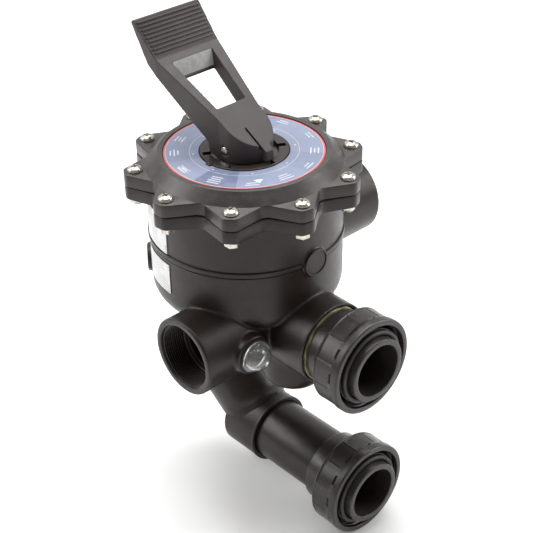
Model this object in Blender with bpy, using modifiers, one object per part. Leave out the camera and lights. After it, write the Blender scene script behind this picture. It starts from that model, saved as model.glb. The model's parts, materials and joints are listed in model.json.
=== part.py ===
"""Side-mount multiport valve for a 2-inch pool filter, modelled in metres with +Z up.

The frame's origin is the centre of the upper union's sealing face, where the valve meets the filter.
+X points at the filter and the spindle is parallel to Z. Below, lengths named in the valve's own
frame are measured from the spindle axis and from the top of the lid's flange (height 0).
"""
import math

import bmesh
import bpy
from mathutils import Matrix, Vector

# ---- driving dimensions (metres) ---------------------------------------------------------------
REACH = 0.1668  # spindle axis to the sealing faces of both tailpieces
UPPER_Z = -0.1428  # height of the upper union's axis
LOWER_Z = -0.2837  # height of the lower union's axis
GAP = 0.0003  # clearance between pieces that touch

PIPE_R = 0.03015  # outer radius of 2-inch pipe
PIPE_BORE_R = 0.0246
SOCKET_R = PIPE_R + GAP
THREAD_R = 0.0305  # mouth of a 2-inch female thread
THREAD_DEPTH = 0.026

DRUM_R = 0.0878
DRUM_BORE_R = 0.080
DRUM_CORNER_R = 0.022
DRUM_CORNER_Z = -0.111
FLOOR_TOP_Z = -0.113
BEAD_R = 0.0893
BEAD_Z = -0.0665

LOBES = 10
LOBE_PHASE = math.radians(-48.4)
SCREW_CIRCLE_R = 0.097
LOBE_TIP_R = 0.1070
LOBE_TIP_HALF_ANGLE = math.radians(3.1)
LOBE_TIP_FILLET = 0.007
LOBE_VALLEY_R = 0.0868
LOBE_VALLEY_FILLET = 0.010
PARTING_Z = -0.012
FLANGE_BOTTOM_Z = -0.024

COLLAR_R = 0.0773
LABEL_OUTER_R = 0.0716
LABEL_INNER_R = 0.0404
LABEL_FLOOR_Z = 0.0072
INDEX_R = 0.0394
INDEX_BORE_R = 0.0303
HUB_FLOOR_Z = 0.0035
STEM_R = 0.0142
STEM_BORE_R = 0.0152
SLEEVE_BOTTOM_Z = -0.022

PORT_R = 0.0393
PORT_Z = -0.085
SIDE_PORT_END = 0.1356
BACK_PORT_END = 0.094
WASTE_X = 0.0355
WASTE_R = 0.0367
WASTE_THREAD_R = 0.0293
WASTE_BORE_R = 0.0245
WASTE_BORE_START = 0.038
WASTE_END = 0.1092
SIGHT_X = 0.0768  # end of the sight glass's boss
SIGHT_Y = -0.062

NUT_R = 0.0455
NUT_FRONT = 0.1600
SHOULDER = 0.1340  # inner shoulder of the nut, which pulls on the tailpiece's collar
NUT_BACK = 0.1300
NECK_R = 0.039
NECK_START = 0.067
NECK_END = 0.113

PIN_Z = 0.015
PIN_R = 0.004
ROTOR_PLATE_Z = -0.084
ROTOR_BOTTOM_Z = -0.108
ROTOR_R = 0.078

ROUND = 28  # sides of a turned piece
LARGE = 36  # sides of the drum and the lid, which share their seal
MIDDLE = 20  # sides of a small turned piece
SMALL = 8  # sides of a fastener

OBJECT = "multiport_valve"


# ---- scene, materials and shape helpers --------------------------------------------------------
def clear_scene():
    for obj in list(bpy.data.objects):
        bpy.data.objects.remove(obj)


def new_collection(name):
    made = bpy.data.collections.new(name)
    bpy.context.scene.collection.children.link(made)
    return made


clear_scene()
PARTS = new_collection(OBJECT)
CUTTERS = new_collection("cutters")

SPINDLE = bpy.data.objects.new("spindle_axis", None)
SPINDLE.location = (-REACH, 0, -UPPER_Z)
PARTS.objects.link(SPINDLE)


def finish_material(name, colour, roughness, metallic=0.0, transmission=0.0):
    made = bpy.data.materials.new(name)
    made.use_nodes = True
    shader = made.node_tree.nodes["Principled BSDF"]
    shader.inputs["Base Color"].default_value = (*colour, 1)
    shader.inputs["Roughness"].default_value = roughness
    shader.inputs["Metallic"].default_value = metallic
    shader.inputs["Transmission Weight"].default_value = transmission
    return made


BODY_PLASTIC = finish_material("body_plastic", (0.030, 0.026, 0.025), 0.42)
LID_PLASTIC = finish_material("lid_plastic", (0.050, 0.045, 0.043), 0.40)
HANDLE_PLASTIC = finish_material("handle_plastic", (0.085, 0.078, 0.077), 0.50)
UNION_PLASTIC = finish_material("union_plastic", (0.040, 0.037, 0.037), 0.32)
DIAL = finish_material("dial_label", (0.45, 0.50, 0.68), 0.45)
PAPER = finish_material("sticker", (0.88, 0.88, 0.88), 0.5)
STEEL = finish_material("stainless", (0.72, 0.69, 0.62), 0.28, 1.0)
CLEAR = finish_material("clear_plastic", (0.9, 0.92, 0.93), 0.05, 0.0, 0.9)
SEAL = finish_material("rubber_seal", (0.02, 0.02, 0.02), 0.6)
SEALANT = finish_material("sealing_ring", (0.50, 0.48, 0.24), 0.5)
WASHER = finish_material("washer_plastic", (0.04, 0.04, 0.04), 0.4)
ROTOR_PLASTIC = finish_material("rotor_plastic", (0.10, 0.10, 0.11), 0.45)


def place(obj, material=None, location=(0, 0, 0), rotation=(0, 0, 0), parent=SPINDLE):
    """Puts an object in the valve's frame: a part when it has a material, and otherwise a cutter."""
    if material:
        obj.data.materials.append(material)
        PARTS.objects.link(obj)
    else:
        obj.hide_render = True
        obj.display_type = "WIRE"
        CUTTERS.objects.link(obj)
    obj.parent = parent
    obj.location = location
    obj.rotation_euler = rotation
    return obj


ALONG_X = (0, math.pi / 2, 0)
ALONG_Y = (-math.pi / 2, 0, 0)
ALONG_MINUS_Y = (math.pi / 2, 0, 0)
ALONG_MINUS_X = (0, -math.pi / 2, 0)


def turned(name, profile, material=None, sides=ROUND, **where):
    """A closed (radius, height) outline swept round Z. It runs down its outer side."""
    mesh = bpy.data.meshes.new(name)
    count = len(profile)
    edges = [(i, (i + 1) % count) for i in range(count)]
    mesh.from_pydata([(r, 0, h) for r, h in profile], edges, [])
    obj = place(bpy.data.objects.new(name, mesh), material, **where)
    screw = obj.modifiers.new("turn", "SCREW")
    screw.steps = screw.render_steps = sides
    screw.use_merge_vertices = True
    screw.merge_threshold = 1e-6
    screw.use_smooth_shade = True
    return obj


def rod(name, radius, low, high, material=None, sides=ROUND, **where):
    """A cylinder from height low to height high along the object's own Z."""
    mesh = bpy.data.meshes.new(name)
    shape = bmesh.new()
    bmesh.ops.create_cone(shape, cap_ends=True, segments=sides, radius1=radius, radius2=radius,
                          depth=high - low, matrix=Matrix.Translation((0, 0, (low + high) / 2)))
    shape.to_mesh(mesh)
    shape.free()
    mesh.shade_smooth()
    mesh.set_sharp_from_angle(angle=math.radians(35))
    return place(bpy.data.objects.new(name, mesh), material, **where)


def box(name, low, high, material=None, **where):
    mesh = bpy.data.meshes.new(name)
    shape = bmesh.new()
    size = [b - a for a, b in zip(low, high)]
    middle = [(a + b) / 2 for a, b in zip(low, high)]
    bmesh.ops.create_cube(shape, size=1, matrix=Matrix.Translation(middle) @ Matrix.Diagonal((*size, 1)))
    shape.to_mesh(mesh)
    shape.free()
    return place(bpy.data.objects.new(name, mesh), material, **where)


def rounded(corners, steps=2):
    """An outline from (x, y, fillet radius) corners, with each fillet as an arc."""
    points = []
    for i, (x, y, radius) in enumerate(corners):
        here = Vector((x, y))
        to_last = (Vector(corners[i - 1][:2]) - here).normalized()
        to_next = (Vector(corners[(i + 1) % len(corners)][:2]) - here).normalized()
        if radius == 0:
            points.append(here)
            continue
        half = to_last.angle(to_next) / 2
        centre = here + (to_last + to_next).normalized() * radius / math.sin(half)
        start = here + to_last * radius / math.tan(half) - centre
        sweep = start.angle_signed(here + to_next * radius / math.tan(half) - centre)
        points += [centre + Matrix.Rotation(-sweep * k / steps, 2) @ start for k in range(steps + 1)]
    return points


def slab(name, outline, low, high, material=None, **where):
    """A flat outline extruded from height low to height high, as a mesh with welded caps."""
    curve = bpy.data.curves.new(name, "CURVE")
    curve.dimensions = "2D"
    curve.fill_mode = "BOTH"
    curve.extrude = (high - low) / 2
    spline = curve.splines.new("POLY")
    spline.points.add(len(outline) - 1)
    for point, (x, y) in zip(spline.points, outline):
        point.co = (x, y, 0, 1)
    spline.use_cyclic_u = True
    flat = bpy.data.objects.new(name + "_outline", curve)
    CUTTERS.objects.link(flat)
    mesh = bpy.data.meshes.new_from_object(flat.evaluated_get(bpy.context.evaluated_depsgraph_get()))
    bpy.data.objects.remove(flat)
    mesh.transform(Matrix.Translation((0, 0, (low + high) / 2)))
    shape = bmesh.new()
    shape.from_mesh(mesh)
    bmesh.ops.remove_doubles(shape, verts=shape.verts, dist=1e-6)
    bmesh.ops.recalc_face_normals(shape, faces=shape.faces)
    shape.to_mesh(mesh)
    shape.free()
    return place(bpy.data.objects.new(name, mesh), material, **where)


def combine(target, operation, *others):
    for other in others:
        modifier = target.modifiers.new(other.name, "BOOLEAN")
        modifier.operation = operation
        modifier.object = other
    return target


def ring(name, major, minor, height, material, sides=ROUND, section=4, **where):
    """An O-ring: a round section swept round Z."""
    angles = [-2 * math.pi * k / section for k in range(section)]
    profile = [(major + minor * math.cos(a), height + minor * math.sin(a)) for a in angles]
    return turned(name, profile, material, sides, **where)


def band(name, inner, outer, low, high, material=None, sides=ROUND, **where):
    """A flat ring with a square section."""
    profile = [(inner, high), (outer, high), (outer, low), (inner, low)]
    return turned(name, profile, material, sides, **where)


def polar(radius, angle):
    return radius * math.cos(angle), radius * math.sin(angle)


def lobe_angles():
    return [LOBE_PHASE + 2 * math.pi * k / LOBES for k in range(LOBES)]


def star_outline():
    """The flange's outline: blunt lobes with straight flanks, one for each screw."""
    corners = []
    for angle in lobe_angles():
        corners.append((*polar(LOBE_TIP_R, angle - LOBE_TIP_HALF_ANGLE), LOBE_TIP_FILLET))
        corners.append((*polar(LOBE_TIP_R, angle + LOBE_TIP_HALF_ANGLE), LOBE_TIP_FILLET))
        corners.append((*polar(LOBE_VALLEY_R, angle + math.pi / LOBES), LOBE_VALLEY_FILLET))
    return rounded(corners)


def drill_flange(flange):
    """One clearance hole through each lobe."""
    for k, angle in enumerate(lobe_angles()):
        hole = rod(f"{flange.name}_hole_{k}", 0.0035, FLANGE_BOTTOM_Z - 0.002, 0.002, sides=SMALL,
                   location=(*polar(SCREW_CIRCLE_R, angle), 0))
        combine(flange, "DIFFERENCE", hole)


# ---- housing -----------------------------------------------------------------------------------
DUCT_R = 0.0335
DUCT_BORE_R = 0.025
DUCT_SLOPE = math.radians(36)
DUCT_FOOT = (0.008, 0, -0.2655)  # a point on the sloping duct's axis, inside the socket
DUCT_LENGTH = 0.068
WELL_X = 0.062
WELL_R = 0.030
WELL_BOTTOM_Z = -0.205
BACK_WELL_X = -0.050
SOCKET_END = 0.040
SOCKET_HEEL = -0.008
SOCKET_HEEL_R = 0.022
FRONT_DROP_BOTTOM_Z = -0.195
BACK_WELL_BOTTOM_Z = -0.240


def drum_profile():
    """The drum's outside: a bead at mid height and a rounded bottom corner."""
    corner = [
        (DRUM_R - DRUM_CORNER_R * (1 - math.cos(a)), DRUM_CORNER_Z - DRUM_CORNER_R * math.sin(a))
        for a in [math.radians(22.5 * k) for k in range(5)]
    ]
    bead = [(DRUM_R, BEAD_Z + 0.0022), (BEAD_R, BEAD_Z), (DRUM_R, BEAD_Z - 0.0022)]
    top = [(0, PARTING_Z - 0.0005), (DRUM_R, PARTING_Z - 0.0005)]
    return top + bead + corner + [(0, DRUM_CORNER_Z - DRUM_CORNER_R)]


def well(name, x, radius, bottom):
    """A round-bottomed vertical chamber under the drum."""
    edge = 0.010
    arc = [(radius - edge * (1 - math.cos(a)), bottom + edge * (1 - math.sin(a)))
           for a in [math.radians(30 * k) for k in range(4)]]
    return turned(name, [(0, FLOOR_TOP_Z), (radius, FLOOR_TOP_Z)] + arc + [(0, bottom)],
                  location=(x, 0, 0))


def sloping(name, radius, length, extra):
    """A rod along the sloping duct, which falls towards +X."""
    return rod(name, radius, -length, extra, location=DUCT_FOOT,
               rotation=(0, math.pi / 2 + DUCT_SLOPE, 0))


def valve_body():
    body = turned("valve_body", drum_profile(), BODY_PLASTIC, sides=LARGE)
    flange = slab("body_flange", star_outline(), FLANGE_BOTTOM_Z, PARTING_Z - GAP / 2)
    outside = [
        flange,
        rod("side_port", PORT_R, 0.060, SIDE_PORT_END, location=(0, 0, PORT_Z), rotation=ALONG_Y),
        rod("back_port", PORT_R, 0.060, BACK_PORT_END, location=(0, 0, PORT_Z), rotation=ALONG_MINUS_X),
        rod("waste_neck", WASTE_R, 0.020, WASTE_END, location=(WASTE_X, 0, UPPER_Z),
            rotation=ALONG_MINUS_Y),
        well("front_well", WELL_X, WELL_R, WELL_BOTTOM_Z),
        well("back_well", BACK_WELL_X, DUCT_R, BACK_WELL_BOTTOM_Z),
        rod("upper_neck", NECK_R, NECK_START, NECK_END, location=(0, 0, UPPER_Z), rotation=ALONG_X),
        sloping("sloping_duct", DUCT_R, DUCT_LENGTH, 0.006),
        rod("lower_socket", DUCT_R + GAP, 0.0090, SOCKET_END, location=(0, 0, LOWER_Z), rotation=ALONG_X),
        turned("socket_heel", [(0, 0.0110), (DUCT_R, 0.0110), (SOCKET_HEEL_R, SOCKET_HEEL), (0, SOCKET_HEEL)],
               location=(0, 0, LOWER_Z), rotation=ALONG_X),
        rod("sight_boss", 0.0185, -0.042, 0, sides=MIDDLE, location=(SIGHT_X, SIGHT_Y, UPPER_Z),
            rotation=ALONG_X),
        rod("front_boss", 0.013, 0.070, 0.0912, sides=MIDDLE, location=(0, 0, BEAD_Z - 0.001),
            rotation=ALONG_X),
        rod("left_boss", 0.013, 0.070, 0.0915, sides=MIDDLE, location=(0, 0, -0.096),
            rotation=(0, math.pi / 2, math.radians(-128))),
    ]
    combine(body, "UNION", *outside)
    inside = [
        rod("chamber", DRUM_BORE_R, FLOOR_TOP_Z, 0.001, sides=LARGE),
        rod("side_thread", THREAD_R, SIDE_PORT_END - THREAD_DEPTH, SIDE_PORT_END + 0.001,
            location=(0, 0, PORT_Z), rotation=ALONG_Y),
        rod("side_bore", 0.027, 0.065, SIDE_PORT_END, location=(0, 0, PORT_Z), rotation=ALONG_Y),
        rod("back_thread", THREAD_R, 0.070, BACK_PORT_END + 0.001, location=(0, 0, PORT_Z + 0.0001),
            rotation=ALONG_MINUS_X),
        rod("waste_thread", WASTE_THREAD_R, WASTE_END - THREAD_DEPTH, WASTE_END + 0.001,
            location=(WASTE_X, 0, UPPER_Z), rotation=ALONG_MINUS_Y),
        rod("waste_bore", WASTE_BORE_R, WASTE_BORE_START, WASTE_END, location=(WASTE_X, 0, UPPER_Z),
            rotation=ALONG_MINUS_Y),
        rod("waste_drop", 0.0160, UPPER_Z, FLOOR_TOP_Z + 0.005, sides=MIDDLE,
            location=(WASTE_X, -0.055, 0)),
        rod("front_drop", 0.0220, FRONT_DROP_BOTTOM_Z, FLOOR_TOP_Z + 0.005, sides=MIDDLE,
            location=(WELL_X - 0.004, 0, 0)),
        rod("back_drop", 0.0240, BACK_WELL_BOTTOM_Z + 0.004, FLOOR_TOP_Z + 0.005, sides=MIDDLE, location=(BACK_WELL_X, 0, 0)),
        rod("neck_bore", 0.0260, 0.050, NECK_END, location=(0, 0, UPPER_Z), rotation=ALONG_X),
        rod("neck_socket", SOCKET_R, 0.0895, NECK_END, location=(0, 0, UPPER_Z), rotation=ALONG_X),
        rod("neck_recess", 0.0368, 0.110, NECK_END + 0.001, location=(0, 0, UPPER_Z),
            rotation=ALONG_X),
        sloping("duct_bore", DUCT_BORE_R, DUCT_LENGTH - 0.008, -0.002),
        rod("elbow_bore", DUCT_BORE_R, SOCKET_HEEL + 0.009, SOCKET_END / 2, location=(0, 0, LOWER_Z),
            rotation=ALONG_X),
        rod("pipe_socket", SOCKET_R, 0.0119, SOCKET_END + 0.001, location=(0, 0, LOWER_Z),
            rotation=ALONG_X),
        rod("sight_hole", 0.0123, -0.048, 0.001, sides=MIDDLE, location=(SIGHT_X, SIGHT_Y, UPPER_Z),
            rotation=ALONG_X),
    ]
    combine(body, "DIFFERENCE", *inside)
    drill_flange(body)
    return body


def lid():
    """The cover: a shallow cone up to a collar, with recesses for the label and the index ring."""
    profile = [
        (STEM_BORE_R, HUB_FLOOR_Z), (INDEX_R + GAP, HUB_FLOOR_Z), (INDEX_R + GAP, LABEL_FLOOR_Z),
        (LABEL_OUTER_R + GAP, LABEL_FLOOR_Z), (LABEL_OUTER_R + GAP, 0.0092), (0.0745, 0.0096),
        (COLLAR_R - 0.0012, 0.0096), (COLLAR_R, 0.0086), (0.0885, -0.0002), (0.0885, -0.0100),
        (0.0796, -0.0100), (0.0796, -0.0140), (0.0768, -0.0140), (0.0768, -0.0178),
        (0.0796, -0.0178), (0.0796, -0.0205), (0.0740, -0.0205), (0.0740, -0.0030),
        (0.0220, -0.0030), (0.0220, SLEEVE_BOTTOM_Z), (STEM_BORE_R, SLEEVE_BOTTOM_Z),
    ]
    cover = turned("lid", profile, LID_PLASTIC, sides=LARGE)
    flange = slab("lid_flange", star_outline(), PARTING_Z + GAP / 2, 0)
    combine(flange, "DIFFERENCE", rod("lid_flange_bore", 0.0805, PARTING_Z - 0.001, 0.001, sides=LARGE))
    combine(cover, "UNION", flange)
    drill_flange(cover)
    key_room = box("key_room", (-0.0032, -0.0430, LABEL_FLOOR_Z - 0.0002),
                   (0.0032, -INDEX_R + 0.0010, 0.012))
    combine(cover, "DIFFERENCE", key_room)
    return cover


def dial_plate():
    plate = band("dial_plate", LABEL_INNER_R, LABEL_OUTER_R, LABEL_FLOOR_Z + GAP, 0.0085, DIAL)
    return combine(plate, "DIFFERENCE", box("key_notch", (-0.0030, -0.0428, 0.006),
                                            (0.0030, -0.038, 0.010)))


def index_ring():
    """The notched ring that the handle's tab drops into, with a key that stops it turning."""
    plate = band("index_ring", INDEX_BORE_R, INDEX_R, HUB_FLOOR_Z + GAP, 0.0090, BODY_PLASTIC)
    key = box("index_key", (-0.0026, -0.0424, LABEL_FLOOR_Z + GAP), (0.0026, -0.0380, 0.0094))
    combine(plate, "UNION", key)
    for k in range(6):
        notch = box(f"notch_{k}", (0.0290, -0.0027, 0.0050), (0.0372, 0.0027, 0.0100),
                    rotation=(0, 0, math.pi / 3 * k))
        combine(plate, "DIFFERENCE", notch)
    return plate


def fasteners():
    """A pan-head screw and a hexagon nut in every lobe."""
    head = [(0, 0.0046), (0.0050, 0.0036), (0.0067, 0.0012), (0.0067, GAP)]
    shank = [(0.0030, GAP), (0.0030, -0.0322), (0, -0.0322)]
    for k, angle in enumerate(lobe_angles(), 1):
        spot = (*polar(SCREW_CIRCLE_R, angle), 0)
        turned(f"lid_screw_{k:02d}", head + shank, STEEL, sides=SMALL, location=spot)
        nut = rod(f"lid_nut_{k:02d}", 0.0066, FLANGE_BOTTOM_Z - 0.0068, FLANGE_BOTTOM_Z - GAP, STEEL,
                  sides=6, location=spot)
        hole = rod(f"nut_hole_{k}", 0.0034, -0.033, -0.023, sides=SMALL, location=spot)
        combine(nut, "DIFFERENCE", hole)


def sight_glass():
    """A clear dome on the waste neck, on its own gasket."""
    here = {"location": (SIGHT_X, SIGHT_Y, UPPER_Z), "rotation": ALONG_X}
    dome = [math.radians(90 - 22.5 * k) for k in range(5)]
    outer = [(0.0126 * math.cos(a), 0.0032 + 0.0122 * math.sin(a)) for a in dome]
    inner = [(0.0104 * math.cos(a), 0.0032 + 0.0100 * math.sin(a)) for a in reversed(dome)]
    foot = [(0.0150, 0.0032), (0.0150, 0.0018), (0.0118, 0.0018), (0.0118, -0.0100), (0.0104, -0.0100)]
    glass = [(0 if r < 1e-9 else r, h) for r, h in outer + foot + inner]
    turned("sight_glass", glass, CLEAR, sides=MIDDLE, **here)
    band("sight_glass_gasket", 0.0122, 0.0160, GAP, 0.0015, SEAL, sides=MIDDLE, **here)


def stickers():
    """Two data labels wrapped on the drum."""
    for name, turn_from, turn_to, low, high in (("sticker_upper", -121, -93, -0.0635, -0.0285),
                                                ("sticker_lower", -119, -92, -0.1040, -0.0745)):
        label = band(name, DRUM_R + GAP, DRUM_R + GAP + 0.0005, low, high, PAPER, sides=72)
        reach = 0.2
        edge_from = polar(reach, math.radians(turn_from))
        edge_to = polar(reach, math.radians(turn_to))
        wedge = slab(name + "_wedge", [(0, 0), edge_from, edge_to], low - 0.002, high + 0.002)
        combine(label, "INTERSECT", wedge)


# ---- unions ------------------------------------------------------------------------------------
def union_front(name_prefix, height):
    """The loose nut and the face O-ring, the same on both unions."""
    here = {"location": (0, 0, height), "rotation": ALONG_X}
    nut = [
        (0.0396, NUT_FRONT), (NUT_R - 0.0015, NUT_FRONT), (NUT_R, NUT_FRONT - 0.0015),
        (NUT_R, NUT_BACK + 0.0020), (NUT_R - 0.0020, NUT_BACK), (0.0358, NUT_BACK),
        (0.0358, SHOULDER), (0.0396, SHOULDER),
    ]
    turned(f"{name_prefix}_union_nut", nut, UNION_PLASTIC, **here)
    ring(f"{name_prefix}_face_oring", 0.0328, 0.0022, 0.1585, SEAL, **here)


COLLAR_BACK = SHOULDER + GAP
FRONT = [
    (PIPE_BORE_R, REACH), (0.0294, REACH), (0.0300, REACH - 0.0006), (0.0300, 0.1560),
    (0.0355, 0.1560), (0.0355, 0.1410), (0.0386, 0.1410), (0.0386, COLLAR_BACK),
]


def upper_union():
    here = {"location": (0, 0, UPPER_Z), "rotation": ALONG_X}
    back = [(0.0352, COLLAR_BACK), (0.0352, 0.1145), (PIPE_R, 0.1145), (PIPE_R, 0.0900),
            (PIPE_BORE_R, 0.0900)]
    turned("upper_tailpiece", FRONT + back, UNION_PLASTIC, **here)
    band("upper_neck_seal", PIPE_R + GAP, 0.0364, 0.1103, 0.1142, SEALANT, **here)
    union_front("upper", UPPER_Z)


def lower_union():
    here = {"location": (0, 0, LOWER_Z), "rotation": ALONG_X}
    back = [(0.0342, COLLAR_BACK), (0.0342, 0.1120), (SOCKET_R, 0.1120), (SOCKET_R, 0.1393),
            (PIPE_BORE_R, 0.1393)]
    turned("lower_tailpiece", FRONT + back, UNION_PLASTIC, **here)
    band("lower_pipe", PIPE_BORE_R, PIPE_R, 0.0122, 0.1390, BODY_PLASTIC, **here)
    union_front("lower", LOWER_Z)


# ---- rotor, spring and seals -------------------------------------------------------------------
def rotor():
    """Stem, hub and diverter: a plate with a rim, four vanes and two windows."""
    groove = [(STEM_R, -0.0028), (0.0125, -0.0028), (0.0125, -0.0056), (STEM_R, -0.0056)]
    second = [(r, h - 0.008) for r, h in groove]
    profile = [(0, 0.0240), (STEM_R - 0.0010, 0.0240), (STEM_R, 0.0230)] + groove + second + [
        (STEM_R, -0.0700), (0.0200, -0.0740), (0.0200, ROTOR_PLATE_Z), (ROTOR_R, ROTOR_PLATE_Z),
        (ROTOR_R, ROTOR_BOTTOM_Z), (0.0710, ROTOR_BOTTOM_Z), (0.0710, -0.0920), (0.0120, -0.0920),
        (0.0120, ROTOR_BOTTOM_Z), (0, ROTOR_BOTTOM_Z),
    ]
    made = turned("rotor", profile, ROTOR_PLASTIC)
    for k in range(4):
        vane = box(f"vane_{k}", (0.0100, -0.0030, ROTOR_BOTTOM_Z), (0.0730, 0.0030, -0.0900),
                   rotation=(0, 0, math.pi / 4 + math.pi / 2 * k))
        combine(made, "UNION", vane)
    for k in range(2):
        window = rod(f"window_{k}", 0.0170, -0.0950, -0.0800, sides=SMALL * 2,
                     location=(*polar(0.0480, math.pi / 2 * k), 0))
        combine(made, "DIFFERENCE", window)
    combine(made, "DIFFERENCE", rod("pin_hole", PIN_R + GAP, -0.03, 0.03, sides=16,
                                    location=(0, 0, PIN_Z), rotation=ALONG_Y))
    ring("stem_oring_1", 0.0139, 0.0011, -0.0042, SEAL, sides=MIDDLE)
    ring("stem_oring_2", 0.0139, 0.0011, -0.0122, SEAL, sides=MIDDLE)
    band("spring_washer", 0.0204, 0.0330, ROTOR_PLATE_Z + GAP, ROTOR_PLATE_Z + 0.0023, STEEL)


def rotor_spring():
    """The compression spring between the lid and the rotor, with its wire as a helix."""
    wire_r = 0.0022
    top = -0.0033 - wire_r
    bottom = ROTOR_PLATE_Z + 0.0026 + wire_r
    turns = 5
    per_turn = 12
    curve = bpy.data.curves.new("rotor_spring", "CURVE")
    curve.dimensions = "3D"
    curve.bevel_depth = wire_r
    curve.bevel_resolution = 0
    curve.use_fill_caps = True
    spline = curve.splines.new("POLY")
    count = turns * per_turn + 1
    spline.points.add(count - 1)
    for k, point in enumerate(spline.points):
        share = k / (count - 1)
        x, y = polar(0.0275, 2 * math.pi * turns * share)
        point.co = (x, y, top + (bottom - top) * share, 1)
    place(bpy.data.objects.new("rotor_spring", curve), STEEL)


def spider_gasket():
    """The seal under the rotor: a rim with six spokes."""
    low = FLOOR_TOP_Z + GAP
    high = ROTOR_BOTTOM_Z - GAP - 0.0002
    gasket = band("spider_gasket", 0.0715, 0.0780, low, high, SEAL)
    combine(gasket, "UNION", band("gasket_centre", 0.0080, 0.0130, low, high, sides=MIDDLE))
    for k in range(3):
        for side in (0, math.pi):
            spoke = box(f"spoke_{k}_{side:.0f}", (0.0110, -0.0022, low), (0.0730, 0.0022, high),
                        rotation=(0, 0, math.pi / 6 + math.pi / 3 * k + side))
            combine(gasket, "UNION", spoke)
    return gasket


def lid_seal():
    ring("lid_oring", 0.0783, 0.0011, -0.0159, SEAL, sides=LARGE)


# ---- handle ------------------------------------------------------------------------------------
HANDLE = bpy.data.objects.new("handle_pivot", None)
HANDLE.location = (0, 0, PIN_Z)
HANDLE.parent = SPINDLE
PARTS.objects.link(HANDLE)

FACE_SLOPE = math.tan(math.radians(29.7))
BEND_X, BEND_Z = -0.0733, 0.0657
GRIP_X, GRIP_Z = -0.0995, 0.0943
TAB_X = 0.0335
NOSE_X = 0.0280
CHEEK_R = 0.0232
CHEEK_T = 0.0042
WAIST_X = -0.0060
CAM_R = 0.0090
CAM_X = -0.0092
SKIN = 0.0036


def face_z(x):
    """Height of the handle's sloping face above the pin."""
    return BEND_Z - FACE_SLOPE * (x - BEND_X)


def side_outline(skin):
    """The handle seen from the side, drawn inwards by a skin thickness for its hollow underside."""
    drop = skin / math.cos(math.atan(FACE_SLOPE))
    front = TAB_X - (0.0110 if skin else 0)
    if skin:
        return rounded([
            (GRIP_X + 0.004, GRIP_Z - 0.0085, 0.001), (BEND_X, BEND_Z - drop, 0.002),
            (front, face_z(front) - drop, 0.003), (front, -0.030, 0), (-0.080, -0.030, 0),
            (-0.100, 0.040, 0),
        ])
    return rounded([
        (GRIP_X - 0.0015, GRIP_Z + 0.0012, 0.0012), (BEND_X, BEND_Z, 0.004),
        (TAB_X, face_z(TAB_X), 0.0010), (TAB_X, -0.0052, 0.0006),
        (NOSE_X + 0.0006, -0.0052, 0), (NOSE_X + 0.0006, -0.0080, 0.0020), (0.0060, -0.0085, 0.0040),
        (CAM_X + 0.002, -CAM_R - 0.0010, 0.0060), (CAM_X - CAM_R, -0.0060, 0.0050),
        (CAM_X - CAM_R, 0.0030, 0.004), (-0.0800, 0.0543, 0.003), (-0.0850, 0.0590, 0.003),
        (GRIP_X - 0.0035, GRIP_Z - 0.0020, 0.0010),
    ])


def plan_outline(inset):
    """The handle seen from above: a tapering paddle, a round nose and the pointer tab."""
    nose = [((NOSE_X - inset) * math.cos(a), (CHEEK_R - inset) * math.sin(a), 0)
            for a in [math.radians(75 - 15 * k) for k in range(5)]]
    tab = [(TAB_X + 0.002, 0.0044, 0), (0.0276, 0.0044, 0)]
    right = [(GRIP_X - 0.006 + inset, 0.0375 - inset, 0.002), (BEND_X, 0.0353 - inset, 0.010),
             (WAIST_X, CHEEK_R - inset, 0)]
    if inset:
        tab = []
    upper = right + nose + list(reversed(tab))
    lower = [(x, -y, radius) for x, y, radius in reversed(upper)]
    return rounded(upper + lower)


def handle():
    """The paddle: a hollow shell that pivots on the cross pin and bears on the washer with two cams."""
    upright = (math.pi / 2, 0, 0)
    paddle = slab("handle", side_outline(0), -0.040, 0.040, HANDLE_PLASTIC, parent=HANDLE,
                  rotation=upright)
    combine(paddle, "INTERSECT", slab("handle_plan", plan_outline(0), -0.060, 0.120, parent=HANDLE))
    hollow = slab("handle_hollow", side_outline(SKIN), -0.040, 0.040, parent=HANDLE, rotation=upright)
    combine(hollow, "INTERSECT", slab("handle_hollow_plan", plan_outline(CHEEK_T), -0.070, 0.120,
                                      parent=HANDLE))
    combine(paddle, "DIFFERENCE", hollow)
    window = slab("handle_window", [(-0.0650, 0.0200), (-0.0160, 0.0145), (-0.0160, -0.0145),
                                    (-0.0650, -0.0200)], -0.060, 0.120, parent=HANDLE)
    pin_bore = rod("handle_pin_bore", PIN_R + GAP, -0.040, 0.040, sides=16, parent=HANDLE,
                   rotation=ALONG_Y)
    combine(paddle, "DIFFERENCE", window, pin_bore)
    rod("handle_pin", PIN_R, -CHEEK_R - 0.0004, CHEEK_R + 0.0004, STEEL, sides=16, parent=HANDLE,
        rotation=ALONG_Y)
    band("handle_washer", STEM_BORE_R, 0.0298, HUB_FLOOR_Z + GAP, HUB_FLOOR_Z + 0.0014, WASHER)


# ---- assembly ----------------------------------------------------------------------------------
valve_body()
lid()
dial_plate()
index_ring()
lid_seal()
fasteners()
sight_glass()
stickers()
upper_union()
lower_union()
rotor()
rotor_spring()
spider_gasket()
handle()
bpy.context.view_layer.update()
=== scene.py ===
"""Looks for the side-mount multiport valve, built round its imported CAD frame."""
import json
import math

import bmesh
import bpy
from mathutils import Matrix, Vector


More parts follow.
